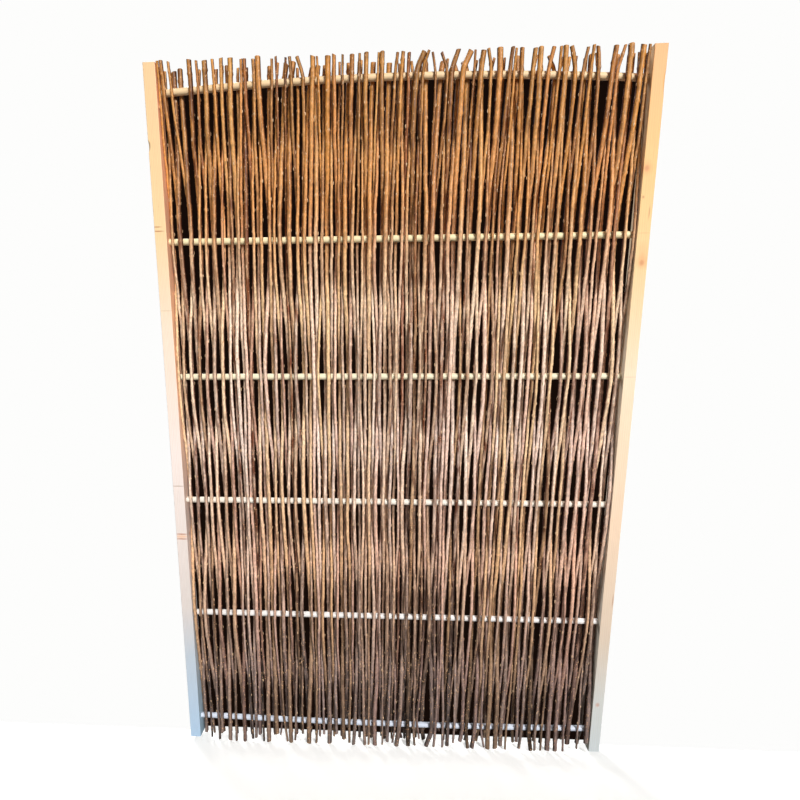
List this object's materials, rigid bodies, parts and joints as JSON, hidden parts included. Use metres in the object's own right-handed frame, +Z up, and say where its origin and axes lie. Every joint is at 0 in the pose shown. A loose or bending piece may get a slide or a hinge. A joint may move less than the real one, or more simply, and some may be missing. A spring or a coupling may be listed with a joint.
{
  "type": "woven willow fence panel",
  "caption": "Framed fence panel of upright bark-on willow rods woven round cross dowels between two planed posts.",
  "frame": {"origin": "middle of the panel's foot, half way through the posts' depth", "axes": "+X along the panel to the right as seen from the front, +Y from the front to the back, +Z up"},
  "size_m": [1.2, 0.045, 1.8167],
  "materials": {
    "planed_post_wood": "satin",
    "dowel_wood": "satin",
    "willow_bark": "satin"
  },
  "bodies": {
    "root": {"cross_dowel_1": "dowel_wood", "cross_dowel_2": "dowel_wood", "cross_dowel_3": "dowel_wood", "cross_dowel_4": "dowel_wood", "cross_dowel_5": "dowel_wood", "cross_dowel_6": "dowel_wood", "left_post": "planed_post_wood", "right_post": "planed_post_wood", "willow_rods_01": "willow_bark", "willow_rods_02": "willow_bark", "willow_rods_03": "willow_bark", "willow_rods_04": "willow_bark", "willow_rods_05": "willow_bark", "willow_rods_06": "willow_bark", "willow_rods_07": "willow_bark", "willow_rods_08": "willow_bark", "willow_rods_09": "willow_bark", "willow_rods_10": "willow_bark", "willow_rods_11": "willow_bark", "willow_rods_12": "willow_bark", "willow_rods_13": "willow_bark", "willow_rods_14": "willow_bark", "willow_rods_15": "willow_bark", "willow_rods_16": "willow_bark", "willow_rods_17": "willow_bark", "willow_rods_18": "willow_bark", "willow_rods_19": "willow_bark", "willow_rods_20": "willow_bark", "willow_rods_21": "willow_bark", "willow_rods_22": "willow_bark", "willow_rods_23": "willow_bark", "willow_rods_24": "willow_bark", "willow_rods_25": "willow_bark", "willow_rods_26": "willow_bark", "willow_rods_27": "willow_bark", "willow_rods_28": "willow_bark", "willow_rods_29": "willow_bark"}
  },
  "joints": []
}
